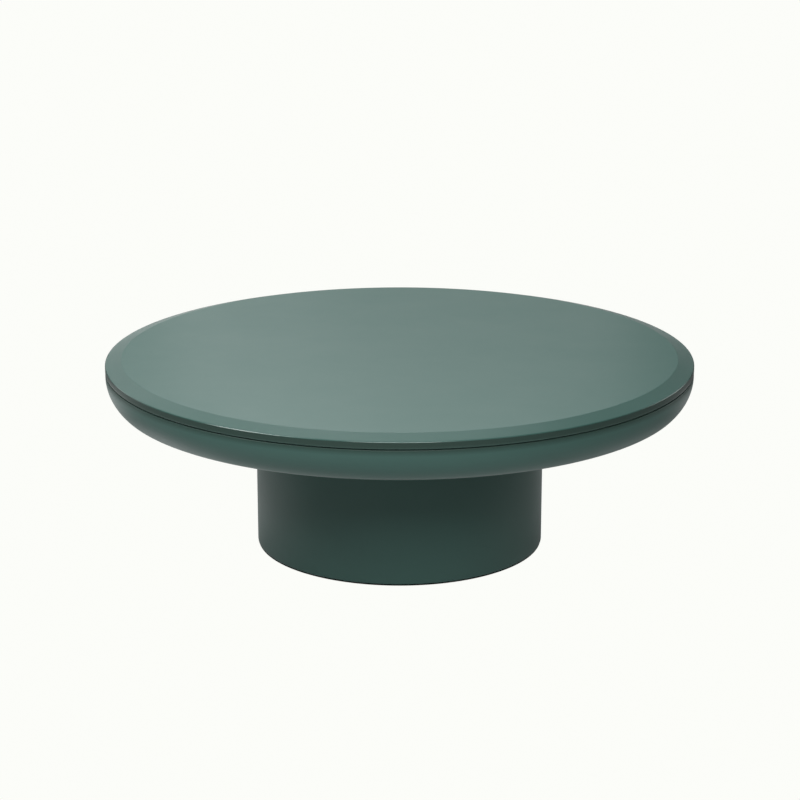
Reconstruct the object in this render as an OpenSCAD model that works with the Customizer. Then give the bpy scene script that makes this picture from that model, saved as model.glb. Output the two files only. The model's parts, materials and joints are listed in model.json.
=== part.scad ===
// Round pedestal table: a bevelled lacquered top on a curved rim, over a drum column that
// stands on four glides. Millimetres, +Z up, origin on the floor under the table's centre.

/* [Table] */
// Diameter of the top panel
table_d = 900; // [800:10:1200]
// Height of the top surface above the floor
table_h = 300; // [240:5:420]

/* [Top panel] */
// Thickness of the top panel
top_t = 17.5; // [14:0.5:25]
// Width of the bevel round the top, measured flat
bevel_w = 25; // [10:0.5:40]
// Height lost across the bevel
bevel_drop = 6.5; // [2:0.5:9]
// Rounding of the top panel's edges
top_arris_r = 0.8; // [0.4:0.1:2]

/* [Rim] */
// Height of the shadow gap under the top panel
shadow_gap = 1; // [0.8:0.1:4]
// How far the rim stands out past the top panel
rim_proud = 0; // [0:0.1:3]
// Height of the rim
rim_h = 51; // [48:0.5:80]
// How far the rim's outer curve runs in underneath
rim_reach = 32; // [28:0.5:42]
// Radius of the tight lower end of the rim's curve
rim_foot_r = 22; // [12:1:24]
// How far the rim's widest place lies below its upper edge
rim_belly = 5; // [2:0.5:10]
// Rounding of the rim's upper edge
rim_arris_r = 1.2; // [0.4:0.1:3]
// Width of the rim, from outside to inside
rim_w = 60; // [54:1:90]
// Width of the lip outside the carrier board
rim_lip_w = 15; // [8:1:25]
// Width of the ledge over the underside panel
under_ledge_w = 13; // [8:1:18]

/* [Boards in the top] */
// Thickness of the carrier board under the top panel
carrier_t = 18; // [12:1:25]
// Thickness of the underside panel
under_t = 12; // [6:1:18]
// How far the core block reaches past the column
core_margin = 3; // [0:1:20]
// Number of radial ribs
rib_count = 8; // [8:4:12]
// Thickness of each rib
rib_t = 18; // [14:1:25]

/* [Column] */
// Outside diameter of the column
column_d = 444; // [400:1:600]
// Thickness of the column's wall
column_wall = 12; // [8:1:18]
// Height of the column's lower edge above the floor
base_gap = 2; // [1:0.5:5]
// Rounding of the column's lower edge
column_arris_r = 1.2; // [0.4:0.1:3]
// Thickness of the board in the top of the column
head_board_t = 18; // [12:1:25]
// Thickness of the board in the foot of the column
base_board_t = 18; // [16:1:25]
// Width of each square post
post_w = 36; // [28:1:50]
// Gap between each post's corners and the column's wall
post_wall_gap = 0.3; // [0.1:0.1:10]
// Diameter of the ballast plate
ballast_d = 290; // [200:5:320]
// Thickness of the ballast plate
ballast_t = 10; // [6:1:20]

/* [Glides] */
// Distance of each glide's centre from the column's inner wall
glide_inset = 26; // [22:1:50]
// Diameter of a glide
glide_d = 40; // [30:1:48]
// Thickness of a glide
glide_t = 5; // [4:0.5:8]
// Width of the sloping edge round a glide
glide_edge = 1; // [0.4:0.1:2]
// Thickness of the felt sole under a glide
sole_t = 2; // [1:0.5:4]

/* [Bolts] */
// Number of bolts that hold the column to the top
bolt_count = 8; // [4:4:8]
// Distance of the bolts from the column's inner wall
bolt_inset = 40; // [25:1:60]
// Diameter of the bolts
bolt_d = 8; // [6:1:10]
// Play round a bolt in the boards that it passes through
bolt_play = 0.5; // [0.2:0.1:1]
// Outside diameter of a threaded insert
insert_d = 12; // [11:0.5:16]
// Wood left over a threaded insert
insert_cover = 4; // [2:0.5:8]

/* [Wood screws] */
// Diameter of a screw's shank
screw_d = 4.5; // [3:0.5:6]
// Number of screws that hold the top panel
top_screw_count = 8; // [4:4:8]
// Depth of the top panel's screws in it
top_screw_bite = 10; // [6:0.5:11]
// Distance of the underside panel's screws from the ribs' ends
rib_screw_inset = 30; // [20:1:40]
// Wood left over the underside panel's screws
rib_screw_cover = 6; // [3:0.5:10]
// Depth of the boards' screws in the posts
post_screw_bite = 32; // [20:1:50]
// Distance between a post's two screws
post_screw_pitch = 16; // [13:1:18]
// Number of screws that hold the ballast plate
ballast_screw_count = 4; // [3:1:8]
// Distance of the ballast plate's screws from its edge
ballast_screw_inset = 20; // [10:1:60]
// Depth of the ballast plate's screws in the base board
ballast_screw_bite = 14; // [8:0.5:15]
// Depth of the glides' screws in the base board
glide_screw_bite = 12; // [8:0.5:15]

/* [Hidden] */
$fn = 96;
glue_gap = 0.15;       // round a part that is glued or let in
screw_gap = 0.1;       // round a screw, washer or insert in its hole
thread_gap = 0.05;     // between a bolt and its insert
end_gap = 0.3;         // between a rib's end and its neighbour
bolt_end_gap = 2;      // between a bolt's tip and the end of its insert
cut = 1;               // how far a hole's cutter runs past a face

// Heights, from the top down
top_under_z = table_h - top_t;
carrier_under_z = top_under_z - carrier_t;
rim_top_z = top_under_z - shadow_gap;
rim_under_z = rim_top_z - rim_h;
cavity_floor_z = rim_under_z + under_t;
cavity_h = carrier_under_z - cavity_floor_z;
head_under_z = rim_under_z - head_board_t;

// Heights, from the floor up
base_board_z = sole_t + glide_t;
base_top_z = base_board_z + base_board_t;
ballast_top_z = base_top_z + ballast_t;
post_h = head_under_z - base_top_z;

// Distances from the table's axis
top_r = table_d/2;
rim_r = top_r + rim_proud;
rim_in_r = rim_r - rim_w;
carrier_r = rim_r - rim_lip_w - glue_gap;
under_r = rim_in_r + under_ledge_w - glue_gap;
column_r = column_d/2;
column_in_r = column_r - column_wall;
board_r = column_in_r - glue_gap;
core_r = column_r + core_margin;
rib_in_r = core_r + end_gap;
rib_out_r = sqrt(pow(rim_in_r, 2) - pow(rib_t/2, 2)) - end_gap;
post_out_r = sqrt(pow(column_in_r - post_wall_gap, 2) - pow(post_w/2, 2));
post_axis_r = post_out_r - post_w/2;
bolt_axis_r = column_in_r - bolt_inset;
glide_axis_r = column_in_r - glide_inset;
top_screw_axis_r = (rib_in_r + rib_out_r)/2;
ballast_screw_axis_r = ballast_d/2 - ballast_screw_inset;

// Bolts, washers and inserts
bolt_r = bolt_d/2;
bolt_head_r = 0.875*bolt_d;
bolt_head_h = 0.55*bolt_d;
bolt_crown_r = 0.7*bolt_head_r;
hex_key_r = 0.36*bolt_d;
hex_key_h = 0.35*bolt_d;
washer_r = bolt_d;
washer_t = 0.2*bolt_d;
bolt_head_z = head_under_z - washer_t;
insert_l = cavity_h - insert_cover;
bolt_l = cavity_floor_z + insert_l - bolt_end_gap - bolt_head_z;

// Wood screws
screw_r = screw_d/2;
screw_head_r = screw_d;
screw_head_h = screw_d/2;
screw_tip_r = 0.4;
top_screw_l = carrier_t + top_screw_bite;
rib_screw_l = under_t + cavity_h - rib_screw_cover;
head_screw_l = head_board_t + post_screw_bite;
base_screw_l = base_board_t + post_screw_bite;
ballast_screw_l = ballast_t + ballast_screw_bite;
glide_screw_l = glide_t + glide_screw_bite;

// Directions from the table's axis
function spread(count, start) = [for (i = [0:count - 1]) start + i*360/count];
rib_angles = spread(rib_count, 0);
post_angles = spread(4, 0);
glide_angles = spread(4, 45);
bolt_angles = spread(bolt_count, 180/bolt_count);
top_screw_angles = spread(top_screw_count, 180/top_screw_count);
ballast_screw_angles = spread(ballast_screw_count, 45);

// Finishes
lacquer_top = [0.45, 0.54, 0.52];
lacquer = [0.26, 0.36, 0.34];
fibreboard = [0.66, 0.53, 0.38];
plywood = [0.80, 0.68, 0.49];
zinc = [0.74, 0.75, 0.76];
steel = [0.36, 0.37, 0.39];
plastic = [0.10, 0.10, 0.11];
felt = [0.30, 0.29, 0.28];

// Puts children at a distance from the table's axis, once in each direction
module around(angles, r) {
    for (a = angles) rotate(a) translate([r, 0, 0]) children();
}

// Puts children at both of a post's screws
module both_post_screws() {
    for (side = [-1, 1]) translate([0, side*post_screw_pitch/2, 0]) children();
}

// Puts children at every screw that goes up into a rib
module at_rib_screws(z) {
    for (r = [rib_in_r + rib_screw_inset, rib_out_r - rib_screw_inset])
        around(rib_angles, r) translate([0, 0, z]) children();
}

// Wood screw that points up from its head's face at z = 0; gap opens it into its own hole
module wood_screw(length, gap = 0) {
    tip_h = 2*screw_r;
    cylinder(h = screw_head_h, r1 = screw_head_r + gap, r2 = screw_r + gap);
    cylinder(h = length - tip_h, r = screw_r + gap);
    translate([0, 0, length - tip_h])
        cylinder(h = tip_h, r1 = screw_r + gap, r2 = screw_tip_r + gap);
}

// Hole for a wood screw, open at its head's face
module screw_hole(length) {
    wood_screw(length + screw_gap, screw_gap);
    translate([0, 0, -cut]) cylinder(h = cut + screw_gap, r = screw_head_r + screw_gap);
}

module top_screw_holes() {
    around(top_screw_angles, top_screw_axis_r)
        translate([0, 0, carrier_under_z]) screw_hole(top_screw_l);
}

module head_board_screw_holes() {
    around(post_angles, post_axis_r) both_post_screws()
        translate([0, 0, rim_under_z]) mirror([0, 0, 1]) screw_hole(head_screw_l);
}

module base_board_screw_holes() {
    around(post_angles, post_axis_r) both_post_screws()
        translate([0, 0, base_board_z]) screw_hole(base_screw_l);
}

module ballast_screw_holes() {
    around(ballast_screw_angles, ballast_screw_axis_r)
        translate([0, 0, ballast_top_z]) mirror([0, 0, 1]) screw_hole(ballast_screw_l);
}

module glide_screw_holes() {
    around(glide_angles, glide_axis_r)
        translate([0, 0, sole_t]) screw_hole(glide_screw_l);
}

module bolt_holes(z, height) {
    around(bolt_angles, bolt_axis_r)
        translate([0, 0, z - cut]) cylinder(h = height + 2*cut, r = bolt_r + bolt_play);
}

// Section of the top panel: flat face, bevel and two rounded corners
module top_panel_section() {
    bevel_angle = atan2(bevel_drop, bevel_w);
    corner_z = table_h - bevel_drop;
    corner_run = top_arris_r/tan((90 + bevel_angle)/2);
    polygon([
        [0, top_under_z],
        [top_r - top_arris_r, top_under_z],
        [top_r, top_under_z + top_arris_r],
        [top_r, corner_z - corner_run],
        [top_r - corner_run*cos(bevel_angle), corner_z + corner_run*sin(bevel_angle)],
        [top_r - bevel_w, table_h],
        [0, table_h]
    ]);
    translate([top_r - top_arris_r, top_under_z + top_arris_r]) circle(top_arris_r);
    translate([top_r - top_arris_r, corner_z - corner_run]) circle(top_arris_r);
}

module top_panel() {
    color(lacquer_top) difference() {
        rotate_extrude() top_panel_section();
        top_screw_holes();
    }
}

module carrier_board() {
    color(plywood) difference() {
        translate([0, 0, carrier_under_z]) cylinder(h = carrier_t, r = carrier_r);
        top_screw_holes();
    }
}

// Outline of the rim: a long upper arc that runs smoothly into a tight lower one
module rim_outline() {
    lower_rise = rim_h - rim_belly - rim_foot_r;
    upper_r = (pow(rim_reach, 2) + pow(lower_rise, 2) - pow(rim_foot_r, 2))
        /(2*(rim_reach - rim_foot_r));
    upper_c = [rim_r - upper_r, rim_top_z - rim_belly];
    past_arc = 3;   // how far the upper arc's sector runs out, in radii
    foot_c = [rim_r - rim_reach, rim_under_z + rim_foot_r];
    arris_c = [
        upper_c[0] + sqrt(pow(upper_r - rim_arris_r, 2) - pow(rim_belly - rim_arris_r, 2)),
        rim_top_z - rim_arris_r
    ];
    translate([rim_in_r, rim_under_z]) square([foot_c[0] - rim_in_r, rim_h]);
    translate([rim_in_r, arris_c[1]]) square([arris_c[0] - rim_in_r, rim_arris_r]);
    translate(foot_c) circle(rim_foot_r);
    translate(arris_c) circle(rim_arris_r);
    intersection() {
        translate(upper_c) circle(upper_r);
        polygon([
            upper_c,
            upper_c + past_arc*(arris_c - upper_c),
            upper_c + past_arc*(foot_c - upper_c)
        ]);
    }
}

module rim_ring() {
    color(lacquer) rotate_extrude() difference() {
        intersection() {
            rim_outline();
            translate([rim_in_r, rim_under_z]) square([rim_w, rim_h]);
        }
        translate([0, carrier_under_z]) square([carrier_r + glue_gap, carrier_t]);
        translate([0, rim_under_z - cut]) square([under_r + glue_gap, under_t + cut]);
    }
}

module underside_panel() {
    color(lacquer) difference() {
        translate([0, 0, rim_under_z]) cylinder(h = under_t, r = under_r);
        bolt_holes(rim_under_z, under_t);
        at_rib_screws(rim_under_z) screw_hole(rib_screw_l);
    }
}

module core_block() {
    color(plywood) difference() {
        translate([0, 0, cavity_floor_z]) cylinder(h = cavity_h, r = core_r);
        around(bolt_angles, bolt_axis_r) translate([0, 0, cavity_floor_z - cut])
            cylinder(h = cut + insert_l + screw_gap, r = insert_d/2 + screw_gap);
    }
}

module radial_rib(angle) {
    color(fibreboard) difference() {
        rotate(angle) translate([rib_in_r, -rib_t/2, cavity_floor_z])
            cube([rib_out_r - rib_in_r, rib_t, cavity_h]);
        at_rib_screws(rim_under_z) screw_hole(rib_screw_l);
    }
}

module column_shell() {
    color(lacquer) rotate_extrude() {
        polygon([
            [column_in_r, base_gap],
            [column_r - column_arris_r, base_gap],
            [column_r, base_gap + column_arris_r],
            [column_r, rim_under_z],
            [column_in_r, rim_under_z]
        ]);
        translate([column_r - column_arris_r, base_gap + column_arris_r])
            circle(column_arris_r);
    }
}

module column_head_board() {
    color(plywood) difference() {
        translate([0, 0, head_under_z]) cylinder(h = head_board_t, r = board_r);
        bolt_holes(head_under_z, head_board_t);
        head_board_screw_holes();
    }
}

module column_base_board() {
    color(plywood) difference() {
        translate([0, 0, base_board_z]) cylinder(h = base_board_t, r = board_r);
        base_board_screw_holes();
        ballast_screw_holes();
        glide_screw_holes();
    }
}

module column_post(angle) {
    color(fibreboard) difference() {
        rotate(angle) translate([post_axis_r - post_w/2, -post_w/2, base_top_z])
            cube([post_w, post_w, post_h]);
        head_board_screw_holes();
        base_board_screw_holes();
    }
}

module ballast_plate() {
    color(steel) difference() {
        translate([0, 0, base_top_z]) cylinder(h = ballast_t, r = ballast_d/2);
        ballast_screw_holes();
    }
}

module top_screws() {
    color(zinc) around(top_screw_angles, top_screw_axis_r)
        translate([0, 0, carrier_under_z]) wood_screw(top_screw_l);
}

module underside_screws() {
    color(zinc) at_rib_screws(rim_under_z) wood_screw(rib_screw_l);
}

module head_board_screws() {
    color(zinc) around(post_angles, post_axis_r) both_post_screws()
        translate([0, 0, rim_under_z]) mirror([0, 0, 1]) wood_screw(head_screw_l);
}

module base_board_screws() {
    color(zinc) around(post_angles, post_axis_r) both_post_screws()
        translate([0, 0, base_board_z]) wood_screw(base_screw_l);
}

module ballast_screws() {
    color(zinc) around(ballast_screw_angles, ballast_screw_axis_r)
        translate([0, 0, ballast_top_z]) mirror([0, 0, 1]) wood_screw(ballast_screw_l);
}

module glide_screws() {
    color(zinc) around(glide_angles, glide_axis_r)
        translate([0, 0, sole_t]) wood_screw(glide_screw_l);
}

// Bolts with a domed head below and a hexagonal socket in it
module column_bolts() {
    color(zinc) around(bolt_angles, bolt_axis_r) translate([0, 0, bolt_head_z]) difference() {
        union() {
            cylinder(h = bolt_l, r = bolt_r);
            translate([0, 0, -bolt_head_h])
                cylinder(h = bolt_head_h, r1 = bolt_crown_r, r2 = bolt_head_r);
        }
        translate([0, 0, -bolt_head_h - cut])
            cylinder(h = hex_key_h + cut, r = hex_key_r, $fn = 6);
    }
}

module column_washers() {
    color(zinc) around(bolt_angles, bolt_axis_r) translate([0, 0, bolt_head_z]) difference() {
        cylinder(h = washer_t, r = washer_r);
        translate([0, 0, -cut]) cylinder(h = washer_t + 2*cut, r = bolt_r + screw_gap);
    }
}

module core_inserts() {
    color(zinc) around(bolt_angles, bolt_axis_r) translate([0, 0, cavity_floor_z]) difference() {
        cylinder(h = insert_l, r = insert_d/2);
        translate([0, 0, -cut]) cylinder(h = insert_l + 2*cut, r = bolt_r + thread_gap);
    }
}

module glide(angle) {
    color(plastic) difference() {
        around([angle], glide_axis_r) translate([0, 0, sole_t]) {
            cylinder(h = glide_edge, r1 = glide_d/2 - glide_edge, r2 = glide_d/2);
            translate([0, 0, glide_edge]) cylinder(h = glide_t - glide_edge, r = glide_d/2);
        }
        glide_screw_holes();
    }
}

module glide_sole(angle) {
    color(felt) around([angle], glide_axis_r) cylinder(h = sole_t, r = glide_d/2 - glide_edge);
}

top_panel();
carrier_board();
rim_ring();
underside_panel();
core_block();
for (i = [1:rib_count])
    radial_rib(rib_angles[i - 1]);
column_shell();
column_head_board();
column_base_board();
for (i = [1:len(post_angles)])
    column_post(post_angles[i - 1]);
ballast_plate();
top_screws();
underside_screws();
head_board_screws();
base_board_screws();
ballast_screws();
glide_screws();
column_bolts();
column_washers();
core_inserts();
for (i = [1:len(glide_angles)]) {
    glide(glide_angles[i - 1]);
    glide_sole(glide_angles[i - 1]);
}
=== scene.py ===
import json
import math

import bmesh
import bpy
from bpy.props import FloatProperty, FloatVectorProperty, IntProperty, PointerProperty
from mathutils import Euler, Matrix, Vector, noise


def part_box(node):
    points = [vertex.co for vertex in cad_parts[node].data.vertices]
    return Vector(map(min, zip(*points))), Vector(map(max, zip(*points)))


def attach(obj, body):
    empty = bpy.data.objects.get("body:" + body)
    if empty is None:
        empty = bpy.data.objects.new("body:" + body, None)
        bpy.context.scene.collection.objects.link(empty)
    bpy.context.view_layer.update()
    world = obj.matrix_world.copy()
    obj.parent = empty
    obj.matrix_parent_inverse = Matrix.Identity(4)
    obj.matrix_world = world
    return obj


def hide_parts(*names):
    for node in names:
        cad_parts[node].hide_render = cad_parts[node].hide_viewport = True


bl_info = {
    "name": "Round pedestal table",
    "version": (1, 0, 0),
    "blender": (4, 5, 0),
    "location": "3D View > Sidebar > Table",
    "description": "Dresses the frame of a round pedestal table with lacquered and turned pieces",
    "category": "Add Mesh",
}

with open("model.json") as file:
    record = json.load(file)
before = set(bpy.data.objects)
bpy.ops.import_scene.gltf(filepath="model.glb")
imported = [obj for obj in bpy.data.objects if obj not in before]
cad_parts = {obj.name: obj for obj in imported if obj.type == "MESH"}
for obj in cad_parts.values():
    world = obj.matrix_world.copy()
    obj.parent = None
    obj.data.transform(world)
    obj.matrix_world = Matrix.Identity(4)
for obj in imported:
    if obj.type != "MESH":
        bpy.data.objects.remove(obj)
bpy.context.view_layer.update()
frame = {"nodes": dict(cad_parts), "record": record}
BODY = "root"
MM = 0.001
GLUE_GAP = 0.15 * MM  # round a board that is let into another piece
SHY = 0.002 * MM  # keeps the top's face just inside the CAD box
SEAM = 0.01 * MM  # points closer than this are one
SATIN_IOR = 1.38
BACKDROP = (0.972, 0.98, 0.945, 1)  # what the camera sees round the table


def low(node):
    """The lowest corner of a node's box."""
    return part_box(node)[0]


def high(node):
    """The highest corner of a node's box."""
    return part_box(node)[1]


def centre(node):
    """The middle of a node's box."""
    return (low(node) + high(node)) / 2


def reach(node):
    """Radius of a round node, kept inside its tessellated sides."""
    return min(high(node).x, -low(node).x, high(node).y, -low(node).y)


# Settings

def length(name, description, default):
    """A length that a user can change."""
    return FloatProperty(
        name=name, description=description, default=default, min=0.0, unit="LENGTH")


def colour(name, description, default):
    """A colour that a user can change."""
    return FloatVectorProperty(
        name=name, description=description, default=default, size=3, min=0.0, max=1.0,
        subtype="COLOR")


class TableShape(bpy.types.PropertyGroup):
    """Sizes of the top, the rim and the column"""

    top_radius: length("Top radius", "Radius of the top panel", reach("top_panel"))
    bevel_width: length("Bevel width", "Width of the bevel round the top", 25 * MM)
    bevel_drop: length("Bevel drop", "Height lost across the bevel", 6.6 * MM)
    bevel_round: length("Bevel rounding", "Radius between the flat top and the bevel", 8 * MM)
    top_arris: length("Top arris", "Rounding of the top panel's upper edge", 2 * MM)
    under_arris: length("Under arris", "Rounding of the top panel's lower edge", 2.6 * MM)
    rim_radius: length("Rim radius", "Outside radius of the rim", reach("rim_ring"))
    rim_width: length("Rim width", "Width of the rim from outside to inside", 60 * MM)
    rim_reach: length("Rim reach", "How far the rim's curve runs in underneath", 32 * MM)
    rim_belly: length("Rim belly", "From the rim's upper edge to its widest place", 5 * MM)
    rim_foot: length("Rim foot radius", "Radius of the lower end of the rim's curve", 22 * MM)
    rim_arris: length("Rim arris", "Rounding of the rim's upper edge", 1.2 * MM)
    column_radius: length("Column radius", "Outside radius of the column", reach("column_shell"))
    column_wall: length("Column wall", "Thickness of the column's wall", 12 * MM)
    column_arris: length("Column arris", "Rounding of the column's lower edge", 1.2 * MM)
    segments: IntProperty(
        name="Segments", description="Steps round the large turned pieces", default=384, min=12)


class TableFixings(bpy.types.PropertyGroup):
    """Sizes of screws, bolts and glides"""

    screw_radius: length("Screw radius", "Outside radius of a wood screw's thread", 2.25 * MM)
    screw_pitch: length("Screw pitch", "Distance between turns of a wood screw's thread", 2 * MM)
    bolt_radius: length("Bolt radius", "Outside radius of a bolt's thread", 4 * MM)
    bolt_pitch: length("Bolt pitch", "Distance between turns of a bolt's thread", 1.25 * MM)
    bolt_inset: length("Bolt inset", "From the column's inner wall to a bolt's axis", 40 * MM)
    washer_radius: length("Washer radius", "Outside radius of a washer", 8 * MM)
    insert_radius: length("Insert radius", "Outside radius of a threaded insert", 6 * MM)
    rib_screw_inset: length("Rib screw inset", "From a rib's end to its screw", 30 * MM)
    post_screw_pitch: length("Post screw pitch", "Distance between a post's two screws", 16 * MM)
    ballast_inset: length("Ballast screw inset", "From the ballast's edge to its screws", 20 * MM)
    glide_radius: length("Glide radius", "Outside radius of a glide", 20 * MM)
    glide_edge: length("Glide edge", "Width of the sloping edge round a glide", 1 * MM)
    segments: IntProperty(
        name="Segments", description="Steps round screws, bolts and glides", default=24, min=12)


class TableFinish(bpy.types.PropertyGroup):
    """Colours of the finishes"""

    lacquer: colour("Lacquer", "Satin lacquer of the table", (0.0905, 0.200, 0.173))
    # painted light: lighter than the lacquer, for the light falling on the top's flat face from
    # above
    face: colour("Face lacquer", "Lacquer of the top's flat face", (0.107, 0.237, 0.205))
    # painted shade: darker than the lacquer, for the shade on the top panel's upright edge and on
    # the rim just under the shadow gap
    edge: colour("Edge lacquer", "Lacquer soaked into the top panel's edge", (0.051, 0.097, 0.080))
    plywood: colour("Plywood", "Birch plywood of the inner boards", (0.60, 0.44, 0.27))
    fibreboard: colour("Fibreboard", "Fibreboard of the ribs and posts", (0.40, 0.27, 0.15))
    steel: colour("Steel", "Black-oiled steel of the ballast plate", (0.10, 0.10, 0.11))
    zinc: colour("Zinc", "Bright zinc plate of screws and bolts", (0.55, 0.56, 0.58))
    plastic: colour("Plastic", "Moulded plastic of the glides", (0.020, 0.020, 0.022))
    felt: colour("Felt", "Felt of the glides' soles", (0.080, 0.075, 0.070))


# Node trees

class NodeMaker:
    """Makes the nodes of a tree one at a time."""

    def __init__(self, tree):
        self.tree = tree

    def node(self, kind, inputs, output=0, **settings):
        """A node whose sockets are set by name or number, or linked; gives one output."""
        made = self.tree.nodes.new(kind)
        for key, value in settings.items():
            setattr(made, key, value)
        for key, value in inputs.items():
            if isinstance(value, bpy.types.NodeSocket):
                self.tree.links.new(value, made.inputs[key])
            else:
                made.inputs[key].default_value = value
        return made.outputs[output]

    def math(self, operation, first, second=0.0):
        """A sum on two numbers, either of which may be linked."""
        return self.node("ShaderNodeMath", {0: first, 1: second}, operation=operation)


class GeometryTree(NodeMaker):
    """A geometry node tree with named inputs."""

    def __init__(self, name, inputs):
        super().__init__(bpy.data.node_groups.new(name, "GeometryNodeTree"))
        face = self.tree.interface
        for label, kind in inputs.items():
            face.new_socket(label, in_out="INPUT", socket_type="NodeSocket" + kind)
        face.new_socket("Piece", in_out="OUTPUT", socket_type="NodeSocketGeometry")
        self.given = self.tree.nodes.new("NodeGroupInput").outputs

    def finish(self, geometry):
        """Ends the tree with real geometry in its material."""
        real = self.node("GeometryNodeRealizeInstances", {"Geometry": geometry})
        dressed = self.node(
            "GeometryNodeSetMaterial", {"Geometry": real, "Material": self.given["Material"]})
        made = self.tree.nodes.new("NodeGroupOutput")
        self.tree.links.new(dressed, made.inputs["Piece"])
        return self.tree


def turning_tree():
    """Turns an outline round the table's axis."""
    if "turn_outline" in bpy.data.node_groups:
        return bpy.data.node_groups["turn_outline"]
    tree = GeometryTree("turn_outline", {
        "Outline": "Geometry", "Path radius": "Float", "Segments": "Int", "Material": "Material"})
    profile = tree.node("GeometryNodeMeshToCurve", {"Mesh": tree.given["Outline"]})
    circle = tree.node("GeometryNodeCurvePrimitiveCircle", {
        "Resolution": tree.given["Segments"], "Radius": tree.given["Path radius"]})
    sweep = tree.node("GeometryNodeCurveToMesh", {"Curve": circle, "Profile Curve": profile})
    whole = tree.node("GeometryNodeMergeByDistance", {"Geometry": sweep, "Distance": SEAM})
    return tree.finish(whole)


def spreading_tree():
    """Puts a piece at even steps round the table's axis, in one or more rows at each step."""
    if "spread_round" in bpy.data.node_groups:
        return bpy.data.node_groups["spread_round"]
    tree = GeometryTree("spread_round", {
        "Item": "Geometry", "Directions": "Int", "First direction": "Float", "Distance": "Float",
        "Rows": "Int", "Row step": "Vector", "Height": "Float", "Upside down": "Bool",
        "Material": "Material"})
    given = tree.given
    index = tree.node("GeometryNodeInputIndex", {})
    row = tree.math("MODULO", index, given["Rows"])
    direction = tree.math("FLOOR", tree.math("DIVIDE", index, given["Rows"]))
    step = tree.math("DIVIDE", math.tau, given["Directions"])
    angle = tree.math("ADD", tree.math("MULTIPLY", direction, step), given["First direction"])
    middle = tree.math("DIVIDE", tree.math("SUBTRACT", given["Rows"], 1.0), 2.0)
    shift = tree.node("ShaderNodeVectorMath", {
        0: given["Row step"], "Scale": tree.math("SUBTRACT", row, middle)}, operation="SCALE")
    out = tree.node("ShaderNodeCombineXYZ", {"X": given["Distance"], "Z": given["Height"]})
    spot = tree.node("ShaderNodeVectorMath", {0: out, 1: shift}, operation="ADD")
    place = tree.node(
        "ShaderNodeVectorRotate", {"Vector": spot, "Angle": angle}, rotation_type="Z_AXIS")
    flip = tree.math("MULTIPLY", given["Upside down"], math.pi)
    turn = tree.node("ShaderNodeCombineXYZ", {"X": flip, "Z": angle})
    points = tree.node("GeometryNodePoints", {
        "Count": tree.math("MULTIPLY", given["Directions"], given["Rows"]), "Position": place})
    copies = tree.node("GeometryNodeInstanceOnPoints", {
        "Points": points, "Instance": given["Item"], "Rotation": turn})
    return tree.finish(copies)


def run_nodes(piece, group, values):
    """Runs a node tree on a piece and leaves it a plain mesh."""
    modifier = piece.modifiers.new(group.name, "NODES")
    modifier.node_group = group
    for item in group.interface.items_tree:
        if item.item_type == "SOCKET" and item.in_out == "INPUT" and item.name in values:
            modifier[item.identifier] = values[item.name]
    graph = bpy.context.evaluated_depsgraph_get()
    made = bpy.data.meshes.new_from_object(piece.evaluated_get(graph))
    piece.modifiers.remove(modifier)
    before = piece.data
    piece.data = made
    bpy.data.meshes.remove(before)
    made.name = piece.name
    face_out(made)


def face_out(mesh, sharp_angle=math.radians(32)):
    """Faces outwards, smooth, with its sharp edges kept."""
    bm = bmesh.new()
    bm.from_mesh(mesh)
    bmesh.ops.recalc_face_normals(bm, faces=bm.faces)
    bm.to_mesh(mesh)
    bm.free()
    mesh.shade_smooth()
    mesh.set_sharp_from_angle(angle=sharp_angle)


def new_piece(name, data):
    """An object in the scene, at the origin."""
    piece = bpy.data.objects.new(name, data)
    bpy.context.scene.collection.objects.link(piece)
    return piece


def keep(piece, slot, *nodes):
    """The piece rides on the table and stands for CAD nodes."""
    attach(piece, BODY)
    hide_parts(*nodes)


# Outlines of turned pieces, as points of radius and height

def arc(middle, radius, start, end, steps):
    """Points on an arc, from one angle to another, in radians."""
    points = []
    for i in range(steps + 1):
        angle = start + (end - start) * i / steps
        points.append(middle + radius * Vector((math.cos(angle), math.sin(angle))))
    return points


def rounded(before, corner, after, radius, steps=5):
    """The corner as an arc, with a point close before and after it to keep the faces flat."""
    into = (before - corner).normalized()
    out = (after - corner).normalized()
    half = into.angle(out) / 2
    run = radius / math.tan(half)
    middle = corner + (into + out).normalized() * (radius / math.sin(half))
    first = corner + into * run - middle
    turn = first.angle_signed(corner + out * run - middle)
    start = math.atan2(first.y, first.x)
    guard = min(radius, run)
    points = arc(middle, radius, start, start - turn, steps)
    return [corner + into * (run + guard), *points, corner + out * (run + guard)]


def outline(corners, closed=True):
    """Outline through corners, each given as a radius, a height and a rounding."""
    points = []
    count = len(corners)
    for i, (radius, height, rounding) in enumerate(corners):
        corner = Vector((radius, height))
        inner = closed or 0 < i < count - 1
        if rounding and inner:
            before = Vector(corners[i - 1][:2])
            after = Vector(corners[(i + 1) % count][:2])
            points += rounded(before, corner, after, rounding)
        else:
            points.append(corner)
    return points


def turned(name, points, segments, material, closed=True):
    """A turned piece from its outline; an open outline starts and ends on the axis.

    The outline is swept along a circle, so its radii are counted from that circle's radius.
    """
    path_radius = 1.0
    corners = [(point.x - path_radius, -point.y, 0) for point in points]
    edges = [(i, i + 1) for i in range(len(corners) - 1)]
    if closed:
        edges.append((len(corners) - 1, 0))
    mesh = bpy.data.meshes.new(name)
    mesh.from_pydata(corners, edges, [])
    piece = new_piece(name, mesh)
    run_nodes(piece, turning_tree(), {
        "Path radius": path_radius, "Segments": segments, "Material": material})
    return piece


# Screws and bolts, built along +Z

def ring(bm, radius, height, segments):
    """A ring of points; the radius may be a function of the angle."""
    points = []
    for i in range(segments):
        angle = math.tau * i / segments
        size = radius(angle) if callable(radius) else radius
        points.append(bm.verts.new((size * math.cos(angle), size * math.sin(angle), height)))
    return points


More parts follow.
